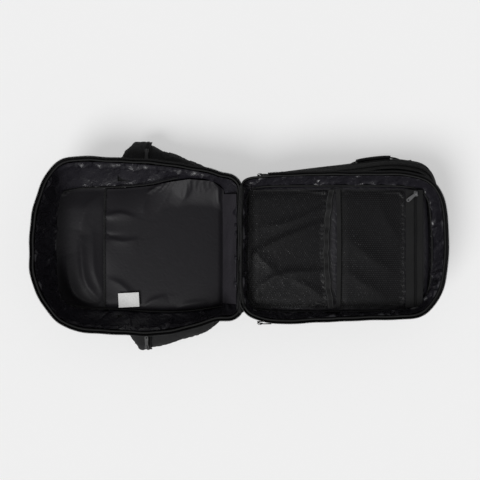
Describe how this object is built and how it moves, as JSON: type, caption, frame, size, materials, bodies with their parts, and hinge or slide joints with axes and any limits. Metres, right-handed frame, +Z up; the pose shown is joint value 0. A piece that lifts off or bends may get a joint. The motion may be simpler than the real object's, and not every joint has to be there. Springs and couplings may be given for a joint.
{
  "type": "travel backpack",
  "caption": "Black clamshell travel backpack lying open on its back, with a deep lined main compartment, a mesh-pocket lid, outer pockets, straps and handles.",
  "frame": {"origin": "on the ground under the middle of the hinge line, which is the middle of the opened bag's box", "axes": "+X from the hinge line along the lid towards the bag's top edge, +Y towards the bag's right side, +Z up; rest pose is fully open, lying on its back and front"},
  "size_m": [0.8801, 0.4438, 0.107],
  "materials": {
    "outer_fabric": "tightly woven matt black polyester",
    "back_mesh": "spacer mesh over foam",
    "lining": "thin coated nylon lining with a soft sheen, dark purple-grey",
    "binding": "ribbed woven binding tape",
    "board": "stiff plastic sheet",
    "label": "plain white satin label, blank",
    "zip_tape": "woven zip tape with a nylon coil",
    "mesh": "open hexagonal polyester mesh",
    "webbing": "ribbed woven webbing",
    "plastic": "moulded acetal",
    "slider_black": "black painted zinc",
    "metal": "dull grey zinc"
  },
  "bodies": {
    "root": {"back_panel": "outer_fabric", "frame_sheet": "board", "floor_lining": "lining", "back_piping": "binding", "back_pad_right": "back_mesh", "back_pad_left": "back_mesh", "laptop_sleeve": "lining", "sleeve_edges": "lining", "sleeve_binding": "binding", "care_label": "label", "top_wall": "outer_fabric", "bottom_wall": "outer_fabric", "rim_tape_ends": "zip_tape", "hinge_binding": "outer_fabric", "strap_yoke": "outer_fabric", "strap_webbing": "webbing", "strap_wings": "outer_fabric", "top_handle_tabs": "outer_fabric"},
    "side_right": {"side_wall_right": "outer_fabric", "rim_tape_right": "zip_tape", "side_pocket_right": "outer_fabric", "side_zip_right": "zip_tape"},
    "side_left": {"side_wall_left": "outer_fabric", "rim_tape_left": "zip_tape", "side_pocket_left": "outer_fabric", "side_zip_left": "zip_tape"},
    "lid": {"lid_gusset": "lining", "lid_panel": "lining", "lid_piping": "binding", "lid_rim_tape": "zip_tape", "lower_mesh_pocket": "mesh", "lower_pocket_hem": "binding", "upper_mesh_pocket": "mesh", "upper_pocket_zip": "zip_tape", "organiser_gusset": "outer_fabric", "organiser_divider": "lining", "organiser_zip": "zip_tape", "front_gusset": "outer_fabric", "front_panel": "outer_fabric", "front_zip": "zip_tape"},
    "side_slider_right": {"side_slider_right": "slider_black"},
    "side_slider_left": {"side_slider_left": "slider_black"},
    "side_puller_right": {"side_puller_right": "slider_black"},
    "side_puller_left": {"side_puller_left": "slider_black"},
    "strap_right": {"strap_right": "outer_fabric"},
    "strap_left": {"strap_left": "outer_fabric"},
    "ladder_lock_right": {"ladder_lock_right": "plastic"},
    "ladder_lock_left": {"ladder_lock_left": "plastic"},
    "top_handle": {"top_handle": "webbing"},
    "upper_pocket_slider": {"upper_pocket_slider": "metal"},
    "upper_pocket_puller": {"upper_pocket_puller": "metal"},
    "organiser_slider": {"organiser_slider": "slider_black"},
    "organiser_puller": {"organiser_puller": "slider_black"},
    "front_slider": {"front_slider": "slider_black"},
    "front_puller": {"front_puller": "slider_black"},
    "side_handle": {"side_handle": "webbing"},
    "main_slider_right": {"main_slider_right": "slider_black"},
    "main_slider_left": {"main_slider_left": "slider_black"},
    "main_puller_right": {"main_puller_right": "slider_black"},
    "main_puller_left": {"main_puller_left": "slider_black"}
  },
  "joints": [
    {"name": "lid_hinge", "type": "hinge", "parent": "root", "child": "lid", "pos_m": [0, 0, 0.105], "axis": [0, -1, 0], "range_deg": [0, 180]},
    {"name": "side_fold_right", "type": "hinge", "parent": "root", "child": "side_right", "pos_m": [-0.213, 0.136, 0.022], "axis": [1, 0, 0], "range_deg": [0, 18]},
    {"name": "side_fold_left", "type": "hinge", "parent": "root", "child": "side_left", "pos_m": [-0.213, -0.136, 0.022], "axis": [-1, 0, 0], "range_deg": [0, 18]},
    {"name": "main_zip_right", "type": "slide", "parent": "lid", "child": "main_slider_right", "axis": [1, 0, 0], "range_m": [0, 0.325]},
    {"name": "main_zip_left", "type": "slide", "parent": "lid", "child": "main_slider_left", "axis": [1, 0, 0], "range_m": [0, 0.325]},
    {"name": "main_puller_swing_right", "type": "hinge", "parent": "main_slider_right", "child": "main_puller_right", "pos_m": [0.042, 0.1576, 0.0975], "axis": [0, 0, 1], "range_deg": [0, 160]},
    {"name": "main_puller_swing_left", "type": "hinge", "parent": "main_slider_left", "child": "main_puller_left", "pos_m": [0.042, -0.1576, 0.0975], "axis": [0, 0, -1], "range_deg": [0, 160]},
    {"name": "side_zip_travel_right", "type": "slide", "parent": "side_right", "child": "side_slider_right", "axis": [0, 0.9741, -0.2259], "range_m": [-0.014, 0]},
    {"name": "side_zip_travel_left", "type": "slide", "parent": "side_left", "child": "side_slider_left", "axis": [0, -0.9741, -0.2259], "range_m": [-0.014, 0]},
    {"name": "side_puller_swing_right", "type": "hinge", "parent": "side_slider_right", "child": "side_puller_right", "pos_m": [-0.2, 0.21028, 0.06879], "axis": [-1, 0, 0], "range_deg": [0, 150]},
    {"name": "side_puller_swing_left", "type": "hinge", "parent": "side_slider_left", "child": "side_puller_left", "pos_m": [-0.2, -0.21028, 0.06879], "axis": [1, 0, 0], "range_deg": [0, 150]},
    {"name": "strap_swing_right", "type": "hinge", "parent": "root", "child": "strap_right", "pos_m": [-0.391, 0.05, 0], "axis": [0, 1, 0], "range_deg": [0, 25]},
    {"name": "strap_swing_left", "type": "hinge", "parent": "root", "child": "strap_left", "pos_m": [-0.391, -0.05, 0], "axis": [0, 1, 0], "range_deg": [0, 25]},
    {"name": "ladder_lock_tilt_right", "type": "hinge", "parent": "strap_right", "child": "ladder_lock_right", "pos_m": [-0.128, 0.096, 0.0045], "axis": [0, 1, 0], "range_deg": [-5, 35]},
    {"name": "ladder_lock_tilt_left", "type": "hinge", "parent": "strap_left", "child": "ladder_lock_left", "pos_m": [-0.128, -0.096, 0.0045], "axis": [0, 1, 0], "range_deg": [-5, 35]},
    {"name": "top_handle_swing", "type": "hinge", "parent": "root", "child": "top_handle", "pos_m": [-0.426, 0, 0.01], "axis": [0, 1, 0], "range_deg": [-60, 60]},
    {"name": "side_handle_swing", "type": "hinge", "parent": "lid", "child": "side_handle", "pos_m": [0.29626, 0.18843, 0.01], "axis": [0.9933, 0.1158, 0], "range_deg": [-50, 35]},
    {"name": "upper_pocket_zip_travel", "type": "slide", "parent": "lid", "child": "upper_pocket_slider", "axis": [0, -1, 0], "range_m": [0, 0.225]},
    {"name": "upper_pocket_puller_swing", "type": "hinge", "parent": "upper_pocket_slider", "child": "upper_pocket_puller", "pos_m": [0.374, 0.117, 0.0793], "axis": [-0.6428, 0.766, 0], "range_deg": [0, 150]},
    {"name": "organiser_zip_travel", "type": "slide", "parent": "lid", "child": "organiser_slider", "axis": [1, 0, 0], "range_m": [0, 0.3]},
    {"name": "organiser_puller_swing", "type": "hinge", "parent": "organiser_slider", "child": "organiser_puller", "pos_m": [0.066, -0.14262, 0.0415], "axis": [0, 0, -1], "range_deg": [0, 160]},
    {"name": "front_zip_travel", "type": "slide", "parent": "lid", "child": "front_slider", "axis": [1, 0, 0], "range_m": [0, 0.29]},
    {"name": "front_puller_swing", "type": "hinge", "parent": "front_slider", "child": "front_puller", "pos_m": [0.066, -0.13922, 0.0235], "axis": [0, 0, -1], "range_deg": [0, 160]}
  ],
  "couplings": [
    {"joint": "side_fold_right", "follows": "lid_hinge", "ratio": 0.1},
    {"joint": "side_fold_left", "follows": "lid_hinge", "ratio": 0.1}
  ]
}
